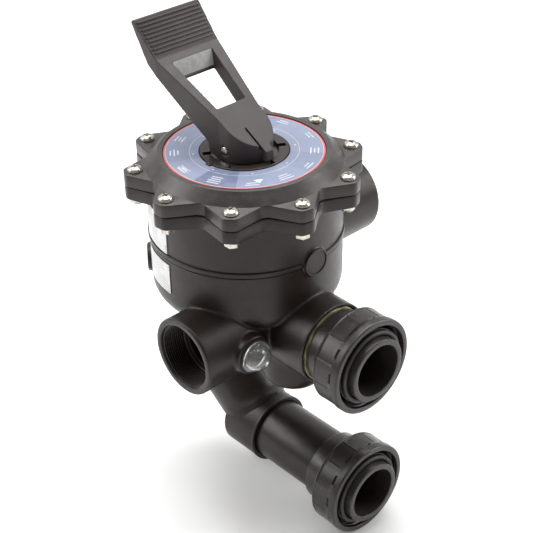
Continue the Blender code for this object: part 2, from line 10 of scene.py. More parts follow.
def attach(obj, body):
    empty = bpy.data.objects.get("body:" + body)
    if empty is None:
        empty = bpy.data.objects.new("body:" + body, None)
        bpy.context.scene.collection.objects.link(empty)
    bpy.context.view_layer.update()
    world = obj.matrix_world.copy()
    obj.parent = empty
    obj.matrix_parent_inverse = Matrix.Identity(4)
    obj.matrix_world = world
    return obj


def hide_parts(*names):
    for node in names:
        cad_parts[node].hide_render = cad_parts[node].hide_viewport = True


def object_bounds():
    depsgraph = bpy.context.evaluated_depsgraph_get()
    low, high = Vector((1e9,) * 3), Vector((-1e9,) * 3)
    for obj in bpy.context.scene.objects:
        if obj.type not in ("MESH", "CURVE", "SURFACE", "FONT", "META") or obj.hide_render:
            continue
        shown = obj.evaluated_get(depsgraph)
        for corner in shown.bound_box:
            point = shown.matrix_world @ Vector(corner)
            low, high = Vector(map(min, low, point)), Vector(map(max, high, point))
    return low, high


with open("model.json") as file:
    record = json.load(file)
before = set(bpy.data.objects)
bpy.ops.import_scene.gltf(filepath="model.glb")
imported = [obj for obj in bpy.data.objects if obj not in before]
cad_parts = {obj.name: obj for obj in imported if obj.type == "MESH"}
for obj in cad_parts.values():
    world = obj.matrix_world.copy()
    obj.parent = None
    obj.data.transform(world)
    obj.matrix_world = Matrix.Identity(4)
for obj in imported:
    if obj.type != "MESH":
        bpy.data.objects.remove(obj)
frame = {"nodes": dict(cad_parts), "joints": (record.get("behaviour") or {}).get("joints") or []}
CAD_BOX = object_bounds()
JOINTS = {j["name"]: j for j in frame["joints"]}
SPINDLE = Vector(JOINTS["rotor_turn"]["pos_m"])
PIVOT = Vector(JOINTS["handle_press"]["pos_m"])
UPPER_Z = JOINTS["upper_nut_turn"]["pos_m"][2] - SPINDLE.z
LOWER_Z = JOINTS["lower_nut_turn"]["pos_m"][2] - SPINDLE.z
X_AXIS = Matrix.Rotation(math.pi / 2, 4, "Y")
MINUS_X = Matrix.Rotation(-math.pi / 2, 4, "Y")
Y_AXIS = Matrix.Rotation(-math.pi / 2, 4, "X")
MINUS_Y = Matrix.Rotation(math.pi / 2, 4, "X")

# Sizes in metres, in the valve's own frame, the same as in the CAD model.
PORT_Z = -0.085
PORT_R = 0.0393
WASTE_X = 0.0355
SIGHT_Y = -0.062
SIGHT_X = 0.0768
SOCKET_R = 0.03045
PIPE_R = 0.03015
PIPE_BORE_R = 0.0246
DUCT_R = 0.0335
WELL_X = 0.062

# Sizes that only the looks have.
FLOOR_GAP = 0.0005
PRINT_FOOT = 0.00842  # the marks start just under the label's top face
PRINT_DEPTH = 0.00014
BODY_VOXEL = 0.0011
PADDLE_VOXEL = 0.00055


def at(x, y, z):
    return Matrix.Translation((x, y, z))


def turn(degrees):
    return Matrix.Rotation(math.radians(degrees), 4, "Z")


# ---- materials ---------------------------------------------------------------------------------
class Nodes:
    """A short way to build a node material."""

    def __init__(self, name, roughness=0.4, metallic=0.0, **sockets):
        self.material = bpy.data.materials.new(name)
        self.material.use_nodes = True
        self.tree = self.material.node_tree
        self.shader = self.tree.nodes["Principled BSDF"]
        self.shader.inputs["Roughness"].default_value = roughness
        self.shader.inputs["Metallic"].default_value = metallic
        for socket, value in sockets.items():
            self.shader.inputs[socket.replace("_", " ")].default_value = value
        self.place = self.add("ShaderNodeTexCoord").outputs["Object"]

    def add(self, kind, settings=None, **inputs):
        node = self.tree.nodes.new(kind)
        for key, value in (settings or {}).items():
            setattr(node, key, value)
        for key, value in inputs.items():
            numbered = key[0] == "i" and key[1:].isdigit()
            socket = node.inputs[int(key[1:]) if numbered else key.replace("_", " ")]
            if isinstance(value, bpy.types.NodeSocket):
                self.tree.links.new(value, socket)
            else:
                socket.default_value = value
        return node

    def noise(self, scale, detail=4.0, rough=0.55, vector=None):
        return self.add("ShaderNodeTexNoise", Vector=vector or self.place, Scale=scale, Detail=detail,
                        Roughness=rough).outputs["Fac"]

    def ramp(self, value, *stops):
        node = self.add("ShaderNodeValToRGB", Fac=value)
        elements = node.color_ramp.elements
        while len(elements) < len(stops):
            elements.new(0.5)
        for element, (where, colour) in zip(elements, stops):
            element.position = where
            element.color = (*colour, 1) if isinstance(colour, tuple) else (colour, colour, colour, 1)
        return node.outputs["Color"]

    def mix(self, factor, a, b):
        node = self.add("ShaderNodeMix", {"data_type": "RGBA"})
        for socket, value in zip((node.inputs[0], node.inputs[6], node.inputs[7]), (factor, a, b)):
            if isinstance(value, bpy.types.NodeSocket):
                self.tree.links.new(value, socket)
            else:
                socket.default_value = (*value, 1) if isinstance(value, tuple) else value
        return node.outputs[2]

    def math(self, operation, a, b=0.0):
        return self.add("ShaderNodeMath", {"operation": operation}, i0=a, i1=b).outputs[0]

    def link(self, output, socket):
        self.tree.links.new(output, self.shader.inputs[socket])

    def bump(self, height, strength, distance=0.0004):
        node = self.add("ShaderNodeBump", Strength=strength, Distance=distance, Height=height)
        self.link(node.outputs["Normal"], "Normal")


def plastic(name, dark, light, smooth, rough, grain=900.0, relief=0.12, dust=0.0, specular=0.5):
    """Moulded plastic: mottled colour, uneven gloss, fine grain and scuffs, and dust on top faces."""
    made = Nodes(name, Specular_IOR_Level=specular)
    mottled = made.ramp(made.noise(38.0, 5.0), (0.30, dark), (0.72, light))
    speck = made.ramp(made.noise(620.0, 2.0), (0.66, 0.0), (0.80, 1.0))
    colour = made.mix(made.math("MULTIPLY", speck, 0.10), mottled, tuple(min(1, c * 3 + 0.03) for c in light))
    normal = made.add("ShaderNodeNewGeometry").outputs["Normal"]
    up = made.add("ShaderNodeSeparateXYZ", Vector=normal).outputs["Z"]
    if dust:
        cover = made.math("MULTIPLY", made.ramp(up, (0.15, 0.0), (0.95, 1.0)),
                          made.ramp(made.noise(95.0, 6.0, 0.65), (0.34, 0.15), (0.72, 1.0)))
        colour = made.mix(made.math("MULTIPLY", cover, dust), colour, (0.30, 0.30, 0.31))
    made.link(colour, "Base Color")
    scuff = made.noise(70.0, 6.0, 0.7)
    made.link(made.ramp(scuff, (0.30, smooth), (0.75, rough)), "Roughness")
    height = made.math("ADD", made.noise(grain, 3.0), made.math("MULTIPLY", made.noise(160.0, 3.0), 0.9))
    made.bump(height, relief)
    return made.material


def steel(name):
    made = Nodes(name, 0.25, 1.0)
    made.link(made.ramp(made.noise(240.0, 4.0), (0.30, (0.46, 0.43, 0.37)), (0.75, (0.70, 0.68, 0.62))),
              "Base Color")
    made.link(made.ramp(made.noise(420.0, 3.0), (0.30, 0.18), (0.75, 0.38)), "Roughness")
    made.bump(made.noise(1400.0, 2.0), 0.10, 0.0002)
    return made.material


def dial_material(name):
    """A printed ring: eleven tinted sectors, one darker, with a red edge and a fine print grain."""
    made = Nodes(name, 0.34)
    parts = made.add("ShaderNodeSeparateXYZ", Vector=made.place)
    x, y = parts.outputs["X"], parts.outputs["Y"]
    share = made.math("ADD", made.math("DIVIDE", made.math("ARCTAN2", y, x), 2 * math.pi), 0.5)
    ramp = made.add("ShaderNodeValToRGB", Fac=share)
    ramp.color_ramp.interpolation = "CONSTANT"
    tones = [(0.0, (0.185, 0.215, 0.315)), (0.105, (0.165, 0.195, 0.295)), (0.185, (0.205, 0.235, 0.335)),
             (0.275, (0.105, 0.125, 0.210)), (0.365, (0.185, 0.215, 0.315)), (0.425, (0.195, 0.225, 0.325)),
             (0.52, (0.175, 0.205, 0.300)), (0.61, (0.205, 0.240, 0.340)), (0.70, (0.215, 0.250, 0.350)),
             (0.79, (0.180, 0.210, 0.310)), (0.89, (0.200, 0.230, 0.330))]
    elements = ramp.color_ramp.elements
    while len(elements) < len(tones):
        elements.new(0.5)
    for element, (where, colour) in zip(elements, tones):
        element.position = where
        element.color = (*colour, 1)
    radius = made.math("SQRT", made.math("ADD", made.math("MULTIPLY", x, x), made.math("MULTIPLY", y, y)))
    worn = made.mix(made.ramp(made.noise(130.0, 5.0), (0.35, 0.0), (0.80, 0.35)), ramp.outputs["Color"],
                    (0.27, 0.30, 0.40))
    edge = made.math("GREATER_THAN", radius, 0.0699)
    made.link(made.mix(edge, worn, (0.58, 0.075, 0.065)), "Base Color")
    made.link(made.ramp(made.noise(55.0, 4.0), (0.3, 0.28), (0.7, 0.44)), "Roughness")
    made.bump(made.noise(1200.0, 2.0), 0.03)
    return made.material


def sticker_material(name):
    """White coated paper with faint grey printed bars."""
    made = Nodes(name, 0.38)
    parts = made.add("ShaderNodeSeparateXYZ", Vector=made.place)
    line = made.math("SINE", made.math("MULTIPLY", parts.outputs["Z"], 2200.0))
    block = made.ramp(made.noise(60.0, 1.0), (0.44, 0.0), (0.48, 1.0))
    ink = made.math("MULTIPLY", made.math("GREATER_THAN", line, 0.25), block)
    printed = made.mix(made.math("MULTIPLY", ink, 0.55), (0.70, 0.70, 0.70), (0.22, 0.23, 0.26))
    made.link(printed, "Base Color")
    made.link(made.ramp(made.noise(80.0), (0.3, 0.30), (0.7, 0.46)), "Roughness")
    made.bump(made.noise(300.0, 3.0), 0.05)
    return made.material


def rubber(name, dark, light, rough=0.55):
    """A plain soft or painted finish: mottled colour, uneven gloss and a fine grain."""
    made = Nodes(name, rough)
    made.link(made.ramp(made.noise(90.0, 4.0), (0.3, dark), (0.7, light)), "Base Color")
    made.link(made.ramp(made.noise(150.0, 3.0), (0.3, rough - 0.08), (0.7, rough + 0.1)), "Roughness")
    made.bump(made.noise(800.0, 3.0), 0.10)
    return made.material


def clear(name):
    made = Nodes(name, 0.03, Transmission_Weight=0.93, IOR=1.49, Base_Color=(0.96, 0.97, 0.97, 1))
    made.link(made.ramp(made.noise(120.0, 3.0), (0.3, 0.015), (0.8, 0.07)), "Roughness")
    made.bump(made.noise(90.0, 2.0), 0.05)
    return made.material


BODY = plastic("body_black", (0.0125, 0.0082, 0.0066), (0.0225, 0.0158, 0.0134), 0.30, 0.44, specular=0.36)
# A darker copy of the body plastic, used only deep in the ports: painted shade
BORE_SHADE = plastic("bore_painted_shade", (0.0040, 0.0033, 0.0031), (0.0080, 0.0067, 0.0063), 0.50, 0.62, specular=0.25)
LID = plastic("lid_black", (0.0180, 0.0132, 0.0114), (0.0330, 0.0256, 0.0230), 0.28, 0.42, dust=0.12,
              specular=0.42)
GRIP = plastic("handle_grey", (0.036, 0.028, 0.027), (0.050, 0.041, 0.040), 0.36, 0.52, grain=1400.0,
               relief=0.10, specular=0.42)
UNION = plastic("union_black", (0.0170, 0.0134, 0.0124), (0.0300, 0.0248, 0.0235), 0.24, 0.40, relief=0.16,
                specular=0.42)
ROTOR = plastic("rotor_black", (0.020, 0.018, 0.018), (0.034, 0.031, 0.031), 0.34, 0.50)
METAL = steel("stainless_warm")
DIAL = dial_material("dial_print")
PAPER = sticker_material("label_paper")
SEAL = rubber("seal_black", (0.012, 0.011, 0.011), (0.024, 0.022, 0.021))
WAX = rubber("seal_yellow", (0.020, 0.020, 0.012), (0.34, 0.33, 0.15), 0.42)
WASHER = rubber("washer_dark", (0.026, 0.024, 0.024), (0.044, 0.041, 0.041), 0.36)
INK = rubber("white_ink", (0.46, 0.48, 0.53), (0.66, 0.67, 0.71), 0.40)
GLASS = clear("clear_dome")
# Light grey, glossier finish for the finger hole's rear wall: a painted highlight standing in for a
# reflection of the lamps
PAINTED_HIGHLIGHT = rubber("handle_painted_highlight", (0.26, 0.26, 0.255), (0.36, 0.36, 0.35), 0.26)


# ---- shape helpers (valve frame: spindle axis at x = y = 0, lid flange top at z = 0) -------------
def mesh_of(name, points, faces):
    mesh = bpy.data.meshes.new(name)
    mesh.from_pydata([tuple(p) for p in points], [], [tuple(f) for f in faces])
    mesh.update()
    return mesh


def arcs(corners, steps=5):
    """An outline from (x, y, radius) corners, each radius as an arc."""
    points = []
    for i, (x, y, radius) in enumerate(corners):
        here = Vector((x, y))
        to_last = Vector(corners[i - 1][:2]) - here
        to_next = Vector(corners[(i + 1) % len(corners)][:2]) - here
        if radius == 0 or to_last.length < 1e-9 or to_next.length < 1e-9:
            points.append(here)
            continue
        to_last.normalize(), to_next.normalize()
        half = to_last.angle(to_next) / 2
        if half > math.pi / 2 - 0.01:
            points.append(here)
            continue
        centre = here + (to_last + to_next).normalized() * radius / math.sin(half)
        start = here + to_last * radius / math.tan(half) - centre
        sweep = start.angle_signed(here + to_next * radius / math.tan(half) - centre)
        points += [centre + Matrix.Rotation(-sweep * k / steps, 2) @ start for k in range(steps + 1)]
    return points


def lathe(name, corners, place, sides=160, shape=None, steps=4, fine=0.0):
    """A turned solid from (radius, height, fillet) corners run down the outside.

    shape changes the radius by height and angle, and fine is the length that the outline is split to.
    """
    outline = [(max(p[0], 0.0), p[1]) for p in arcs(corners, steps)]
    if fine:
        dense = []
        for i, (r, h) in enumerate(outline):
            r2, h2 = outline[(i + 1) % len(outline)]
            parts = max(1, int(math.hypot(r2 - r, h2 - h) / fine))
            dense += [(r + (r2 - r) * k / parts, h + (h2 - h) * k / parts) for k in range(parts)]
        outline = dense
    points, faces = [], []
    for k in range(sides):
        angle = 2 * math.pi * k / sides
        for r, h in outline:
            reach = shape(r, h, angle) if shape else r
            points.append((reach * math.cos(angle), reach * math.sin(angle), h))
    count = len(outline)
    for k in range(sides):
        for i in range(count):
            j = (i + 1) % count
            if outline[i][0] < 1e-7 and outline[j][0] < 1e-7:
                continue
            a, b = k * count, (k + 1) % sides * count
            faces.append((a + i, b + i, b + j, a + j))
    mesh = mesh_of(name, points, faces)
    return finish_mesh(mesh, place)


def finish_mesh(mesh, place=None, merge=1e-7):
    shape = bmesh.new()
    shape.from_mesh(mesh)
    bmesh.ops.remove_doubles(shape, verts=shape.verts, dist=merge)
    bmesh.ops.recalc_face_normals(shape, faces=shape.faces)
    shape.to_mesh(mesh)
    shape.free()
    if place is not None:
        mesh.transform(place)
    return mesh


def prism(name, outline, low, high, place=Matrix.Identity(4), bevel=0.0, segments=3):
    """An extruded outline with its sharp edges rounded."""
    shape = bmesh.new()
    ground = [shape.verts.new((x, y, low)) for x, y in outline]
    face = shape.faces.new(ground)
    pulled = bmesh.ops.extrude_face_region(shape, geom=[face])
    bmesh.ops.translate(shape, vec=(0, 0, high - low),
                        verts=[v for v in pulled["geom"] if isinstance(v, bmesh.types.BMVert)])
    bmesh.ops.recalc_face_normals(shape, faces=shape.faces)
    if bevel:
        rim = [e for e in shape.edges if abs(e.verts[0].co.z - e.verts[1].co.z) < 1e-7]
        bmesh.ops.bevel(shape, geom=rim, offset=bevel, segments=segments, profile=0.5, affect="EDGES",
                        clamp_overlap=True)
    mesh = bpy.data.meshes.new(name)
    shape.to_mesh(mesh)
    shape.free()
    mesh.transform(place)
    return mesh


def block(name, low, high, place=Matrix.Identity(4), bevel=0.0):
    outline = [(low[0], low[1]), (high[0], low[1]), (high[0], high[1]), (low[0], high[1])]
    return prism(name, outline, low[2], high[2], place, bevel, 2)


def rod(name, radius, low, high, place, sides=96, edge=0.0):
    return lathe(name, [(0, high, 0), (radius, high, edge), (radius, low, edge), (0, low, 0)], place, sides)


def thing(name, mesh):
    obj = bpy.data.objects.new(name, mesh)
    bpy.context.scene.collection.objects.link(obj)
    return obj


def applied(obj):
    """The object with its modifiers made real."""
    mesh = bpy.data.meshes.new_from_object(obj.evaluated_get(bpy.context.evaluated_depsgraph_get()))
    obj.modifiers.clear()
    obj.data = mesh
    return obj


def boolean(obj, operation, *meshes):
    for number, mesh in enumerate(meshes):
        other = thing(f"cut_{obj.name}_{number}", mesh)
        change = obj.modifiers.new("cut", "BOOLEAN")
        change.operation = operation
        change.object = other
        applied(obj)
        bpy.data.objects.remove(other)
    return obj


def fused(name, meshes, voxel, rounds):
    """Several solids cast as one skin, with soft fillets where they meet."""
    obj = joined(name, meshes)
    remesh = obj.modifiers.new("skin", "REMESH")
    remesh.mode = "VOXEL"
    remesh.voxel_size = voxel
    smooth = obj.modifiers.new("soften", "SMOOTH")
    smooth.factor = 0.5
    smooth.iterations = rounds
    return applied(obj)


def joined(name, meshes):
    """One object from several meshes. A mesh may come with its material's number, as a pair."""
    shape = bmesh.new()
    for mesh in meshes:
        mesh, number = mesh if isinstance(mesh, tuple) else (mesh, None)
        before = len(shape.faces)
        shape.from_mesh(mesh)
        shape.faces.ensure_lookup_table()
        if number is not None:
            for face in shape.faces[before:]:
                face.material_index = number
    mesh = bpy.data.meshes.new(name)
    shape.to_mesh(mesh)
    shape.free()
    return thing(name, mesh)


def dress(obj, materials, body, nodes, sharp=32, place=None):
    """Materials, smooth shading, place in the row frame, and what the piece stands for."""
    for material in materials if isinstance(materials, (list, tuple)) else [materials]:
        obj.data.materials.append(material)
    obj.data.shade_smooth()
    obj.data.set_sharp_from_angle(angle=math.radians(sharp))
    obj.location = SPINDLE if place is None else place
    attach(obj, body)
    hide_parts(*nodes)
    return obj


# ---- flange outline shared by the lid and the body ---------------------------------------------
LOBES, PHASE, SCREW_R = 10, -48.4, 0.097


def polar(radius, degrees):
    return radius * math.cos(math.radians(degrees)), radius * math.sin(math.radians(degrees))


def star(grow=0.0, valley=0.0868):
    corners = []
    for k in range(LOBES):
        middle = PHASE + 36 * k
        corners.append((*polar(0.1070 + grow, middle - 3.1), 0.007))
        corners.append((*polar(0.1070 + grow, middle + 3.1), 0.007))
        corners.append((*polar(valley + grow, middle + 18), 0.010))
    return arcs(corners, 6)


def tube(name, outer, end, bore, floor, place, back=0.0, edge=0.0012, mouth=None):
    """A port: a pipe closed at its far floor, with rounded lips and, if asked, a wider mouth."""
    mouth_r, mouth_to = mouth or (bore, end)
    corners = [(outer, end, edge), (outer, back, 0), (0, back, 0), (0, floor, 0), (bore, floor, 0.0015),
               (bore, mouth_to, 0), (mouth_r, mouth_to, 0), (mouth_r, end, edge)]
    if mouth is None:
        corners = corners[:5] + [(bore, end, edge)]
    return lathe(name, corners, place, 128)


def thread(name, radius, start, end, place, pitch=0.0022, depth=0.0011, sides=72):
    """A helical female thread, standing in from the bore's wall."""
    points, faces = [], []
    count = int(sides * (end - start) / pitch)
    for k in range(count + 1):
        angle, height = 2 * math.pi * k / sides, start + pitch * k / sides
        fade = min(1.0, k / sides, (count - k) / sides)
        for r, h in ((radius + 0.0006, -0.45 * pitch), (radius - depth * fade + 0.0002, -0.06 * pitch),
                     (radius - depth * fade + 0.0002, 0.06 * pitch), (radius + 0.0006, 0.45 * pitch)):
            points.append((r * math.cos(angle), r * math.sin(angle), height + h))
    for k in range(count):
        a, b = 4 * k, 4 * k + 4
        faces += [(a + i, b + i, b + i + 1, a + i + 1) for i in range(3)]
    return finish_mesh(mesh_of(name, points, faces), place)


# ---- housing -----------------------------------------------------------------------------------
def housing():
    side, back = at(0, 0, PORT_Z) @ Y_AXIS, at(0, 0, PORT_Z) @ MINUS_X
    waste = at(WASTE_X, 0, UPPER_Z) @ MINUS_Y
    sight = at(SIGHT_X, SIGHT_Y, UPPER_Z) @ X_AXIS
    upper, lower = at(0, 0, UPPER_Z) @ X_AXIS, at(0, 0, LOWER_Z) @ X_AXIS
    duct = at(0.008, 0, -0.2655) @ Matrix.Rotation(math.radians(126), 4, "Y")
    drum = thing("drum_cut", lathe("drum", [(0, -0.0125, 0), (0.0878, -0.0125, 0), (0.0878, -0.1330, 0.0215),
                                            (0, -0.1330, 0)], Matrix.Identity(4), 192, steps=14))
    boolean(drum, "DIFFERENCE", rod("waste_room", 0.0315, 0.0565, 0.130, waste, 96),
            rod("back_room", 0.0330, 0.0790, 0.100, back, 96))
    skin = fused("valve_body_skin", [
        drum.data,
        tube("side_port", PORT_R, 0.1356, 0.0270, 0.088, side, 0.060, mouth=(0.0308, 0.1096)),
        tube("back_port", PORT_R, 0.0940, 0.0300, 0.0805, back, 0.060),
        tube("waste", 0.0367, 0.1092, 0.0247, 0.060, waste, 0.020, mouth=(0.0300, 0.083)),
        lathe("front_well", [(0, -0.113, 0), (0.0300, -0.113, 0), (0.0300, -0.205, 0.012), (0, -0.205, 0)],
              at(WELL_X, 0, 0), 128, steps=8),
        lathe("back_well", [(0, -0.113, 0), (DUCT_R, -0.113, 0), (DUCT_R, -0.240, 0.012), (0, -0.240, 0)],
              at(-0.050, 0, 0), 128, steps=8),
        tube("upper_neck", 0.039, 0.113, 0.0368, 0.110, upper, 0.067, 0.0008),
        lathe("duct", [(0, 0.012, 0), (DUCT_R, 0.012, 0.018), (DUCT_R, -0.068, 0), (0, -0.068, 0)], duct,
              128, steps=8),
        lathe("lower_elbow", [(0, 0.030, 0), (0.0338, 0.030, 0), (0.0338, 0.010, 0.010),
                              (0.0220, -0.008, 0.004), (0, -0.008, 0)], lower, 128),
        lathe("sight_boss", [(0.0185, 0, 0.0012), (0.0185, -0.0128, 0), (0, -0.0128, 0), (0, -0.0115, 0),
                             (0.0123, -0.0115, 0), (0.0123, 0, 0.0006)], sight, 96),
        rod("front_boss", 0.013, 0.070, 0.0905, at(0, 0, -0.0675) @ X_AXIS, 96, 0.0012),
        rod("left_boss", 0.013, 0.070, 0.0915, at(0, 0, -0.096) @ turn(-128) @ X_AXIS, 96, 0.0012),
        rod("neck_web", 0.012, 0.040, 0.100, at(0, 0, -0.121) @ X_AXIS, 64),
    ], BODY_VOXEL, 6)
    bead = lathe("bead", [(0.0893, -0.0645, 0.0009), (0.0893, -0.0685, 0.0009), (0.0860, -0.0690, 0),
                          (0.0860, -0.0640, 0)], Matrix.Identity(4), 256)
    groove = lathe("bead_lip", [(0.0884, -0.0700, 0.0005), (0.0884, -0.0715, 0.0005), (0.0860, -0.0715, 0),
                                (0.0860, -0.0700, 0)], Matrix.Identity(4), 256)
    ring = lathe("boss_ring", [(0.0131, 0.0912, 0.0005), (0.0131, 0.0880, 0), (0.0112, 0.0880, 0),
                               (0.0112, 0.0912, 0.0005)], at(0, 0, -0.0675) @ X_AXIS, 96)
    flange = prism("body_flange", star(), -0.024, -0.01215, bevel=0.0007)
    socket = tube("lower_socket", 0.0338, 0.0400, SOCKET_R, 0.0130, lower, -0.002, 0.0010)
    collar = lathe("socket_rim", [(0.0344, 0.0400, 0.0008), (0.0344, 0.0370, 0.0006), (0.0325, 0.0370, 0),
                                  (0.0325, 0.0400, 0)], lower, 128)
    stations = [at(0, 0, -0.0239) @ turn(PHASE + 36 * k) @ at(SCREW_R, 0, 0) for k in range(LOBES)]
    seat = [(0.0082, 0.0005, 0), (0.0082, -0.0001, 0.0001), (0, -0.0001, 0), (0, 0.0005, 0)]
    seats = [lathe(f"seat_{k}", seat, place, 48) for k, place in enumerate(stations)]
    ribs = [thread("side_thread", 0.0308, 0.112, 0.1345, side),
            thread("waste_thread", 0.0300, 0.085, 0.1082, waste),
            thread("back_thread", 0.0300, 0.0830, 0.0928, back)]
    # Dark discs at the ports' floors carry the darker copy: painted shade at the bottoms of the bores
    shade_discs = [(rod("side_dark", 0.0272, 0.080, 0.0895, side, 64), 1),
              (rod("waste_dark", 0.0249, 0.055, 0.0615, waste, 64), 1),
              (rod("back_dark", 0.0302, 0.0785, 0.0812, back, 64), 1)]
    pieces = [skin.data, bead, groove, ring, flange, socket, collar, *seats, *ribs, *shade_discs]
    body = joined("valve_body_looks", pieces)
    bpy.data.objects.remove(skin)
    bpy.data.objects.remove(drum)
    dress(body, [BODY, BORE_SHADE], "housing", ["valve_body"], 40)


def cover():
    profile = [(0.0397, 0.0035, 0), (0.0397, 0.0080, 0.0004), (0.0719, 0.0072, 0), (0.0719, 0.0094, 0.0005),
               (0.0766, 0.0097, 0.0016), (0.0795, 0.0070, 0.004), (0.0882, -0.0004, 0.0008),
               (0.0882, -0.0080, 0), (0.0150, -0.0080, 0), (0.0150, 0.0035, 0)]
    cone = lathe("lid_cone", profile, Matrix.Identity(4), 256, steps=6)
    flange = prism("lid_flange", star(0, 0.0852), -0.01185, 0.0, bevel=0.0008)
    key = (-0.0032, -0.0430, 0.0070), (0.0032, -0.0380, 0.0120)
    lid = thing("lid_cone_cut", cone)
    boolean(lid, "INTERSECT", prism("valleys", star(-0.0003, 0.0852), -0.02, 0.02))
    boolean(lid, "DIFFERENCE", block("key_room", *key))
    sleeve = lathe("lid_sleeve", [(0.0220, -0.003, 0), (0.0220, -0.0220, 0.0006), (0.0152, -0.0220, 0.0006),
                                  (0.0152, -0.003, 0)], Matrix.Identity(4), 96)
    made = joined("lid_looks", [lid.data, flange, sleeve])
    bpy.data.objects.remove(lid)
    dress(made, LID, "housing", ["lid"], 38)


def dial():
    """The label ring with generic marks: bars for words, dots, fine strokes, an arrow and two rings."""
    section = [(0.0714, 0.0085, 0.0002), (0.0714, 0.0075, 0), (0.0404, 0.0075, 0), (0.0404, 0.0085, 0.0002)]
    plate = lathe("dial_ring", section, Matrix.Identity(4), 256)
    made = thing("dial_cut", plate)
    boolean(made, "DIFFERENCE", block("key_notch", (-0.0030, -0.0428, 0.006), (0.0030, -0.038, 0.010)))
    foot, top = PRINT_FOOT, PRINT_FOOT + PRINT_DEPTH
    marks = []

    def bar(angle, radius, length, width):
        half = (width / 2, length / 2)
        low, high = (radius - half[0], -half[1], foot), (radius + half[0], half[1], top)
        marks.append((block("mark", low, high, turn(angle)), 1))

    for angle in range(-168, 192, 45):
        dot = [(0.0009, top, 0), (0.0009, foot, 0), (0, foot, 0), (0, top, 0)]
        marks.append((lathe("dot", dot, turn(angle) @ at(0.0452, 0, 0), 16), 1))
    words = [(-153, (10, 7, 11)), (-128, (9, 12, 8)), (-98, (12, 8)), (-66, (11, 12, 9, 10)),
             (-36, (12, 9)), (-8, (14, 12, 9)), (18, (12, 8)), (44, (10, 8, 11)), (72, (12, 9)),
             (104, (9, 12)), (140, (12, 8, 10)), (168, (9, 12))]
    for angle, lengths in words:
        for row, length in enumerate(lengths):
            bar(angle, 0.0648 - 0.0033 * row, length / 1000, 0.0011)
    for step in range(18):
        for part in (0, 1):
            bar(-98 + (step - 9) * 0.75, 0.0630 - 0.0030 * part, 0.0004, 0.0016)
    arrow = [(0.0565, -0.0042), (0.0565, 0.0042), (0.0630, 0.0)]
    marks.append((prism("arrow", arrow, foot, top, turn(-30)), 1))
    lines = [(lathe("line", [(r + 0.00025, foot + 0.0001, 0), (r + 0.00025, foot, 0), (r, foot, 0),
                             (r, foot + 0.0001, 0)], Matrix.Identity(4), 192), 2) for r in (0.0482, 0.0694)]
    label = joined("dial_looks", [made.data, *marks, *lines])
    bpy.data.objects.remove(made)
    dress(label, [DIAL, INK, PAPER], "housing", ["dial_plate"], 30)


def index():
    section = [(0.0394, 0.0090, 0.0006), (0.0394, 0.0038, 0), (0.0303, 0.0038, 0), (0.0303, 0.0090, 0.0005)]
    ring = thing("index_cut", lathe("index_plate", section, Matrix.Identity(4), 192))
    low, high = (0.0290, -0.0027, 0.0050), (0.0372, 0.0027, 0.0100)
    notches = [block(f"notch_{k}", low, high, turn(60 * k)) for k in range(6)]
    boolean(ring, "DIFFERENCE", *notches)
    key = block("index_key", (-0.0026, -0.0424, 0.0075), (0.0026, -0.0385, 0.0094), bevel=0.0004)
    made = joined("index_ring_looks", [ring.data, key])
    bpy.data.objects.remove(ring)
    dress(made, BODY, "housing", ["index_ring"], 30)


def fasteners():
    """Pan-head screws with a cross recess, and chamfered hexagon nuts on the screws' ends."""
    head = [(0, 0.0047, 0), (0.0036, 0.0044, 0.002), (0.0060, 0.0030, 0.0022), (0.0067, 0.0012, 0.0008),
            (0.0067, 0.0003, 0.0002), (0.0030, 0.0003, 0), (0.0030, -0.0322, 0.0005), (0, -0.0322, 0)]
    screw = thing("screw_cut", lathe("screw", head, Matrix.Identity(4), 64, steps=5))
    cross = [block("slot_a", (-0.0034, -0.0008, 0.0022), (0.0034, 0.0008, 0.0060), bevel=0.0003),
             block("slot_b", (-0.0008, -0.0034, 0.0022), (0.0008, 0.0034, 0.0060), bevel=0.0003)]
    boolean(screw, "DIFFERENCE", *cross)
    hexagon = [polar(0.0066, 60 * k) for k in range(6)]
    nut = thing("nut_cut", prism("nut", hexagon, -0.0308, -0.0243, bevel=0.0009, segments=3))
    boolean(nut, "DIFFERENCE", rod("nut_hole", 0.0032, -0.035, -0.020, Matrix.Identity(4), 32))
    for k in range(LOBES):
        angle = PHASE + 36 * k
        spot = SPINDLE + Vector((*polar(SCREW_R, angle), 0))
        for kind, source, spin in (("screw", screw, 17 * k + 20), ("nut", nut, 23 * k)):
            mesh = source.data.copy()
            mesh.transform(turn(spin))
            piece = thing(f"{kind}_looks_{k + 1:02d}", mesh)
            dress(piece, METAL, "housing", [f"lid_{kind}_{k + 1:02d}"], 35, spot)
    bpy.data.objects.remove(screw)
    bpy.data.objects.remove(nut)


def sight():
    place = at(SIGHT_X, SIGHT_Y, UPPER_Z) @ X_AXIS
    count = 14
    falling = [math.pi / 2 * (1 - k / count) for k in range(count + 1)]
    rising = [math.pi / 2 * k / count for k in range(count + 1)]
    outer = [(0.0126 * math.cos(a), 0.0032 + 0.0122 * math.sin(a), 0) for a in falling]
    inner = [(0.0106 * math.cos(a), 0.0032 + 0.0102 * math.sin(a), 0) for a in rising]
    foot = [(0.0150, 0.0032, 0.0004), (0.0150, 0.0018, 0.0003), (0.0118, 0.0018, 0), (0.0118, -0.0100, 0),
            (0.0106, -0.0100, 0)]
    dome = thing("sight_glass_looks", lathe("dome", outer + foot + inner, place, 96))
    dress(dome, GLASS, "housing", ["sight_glass"], 50)
    section = [(0.0160, 0.0015, 0.0004), (0.0160, 0.0003, 0.0004), (0.0122, 0.0003, 0), (0.0122, 0.0015, 0)]
    gasket = thing("sight_gasket_looks", lathe("gasket", section, place, 96))
    dress(gasket, SEAL, "housing", ["sight_glass_gasket"])


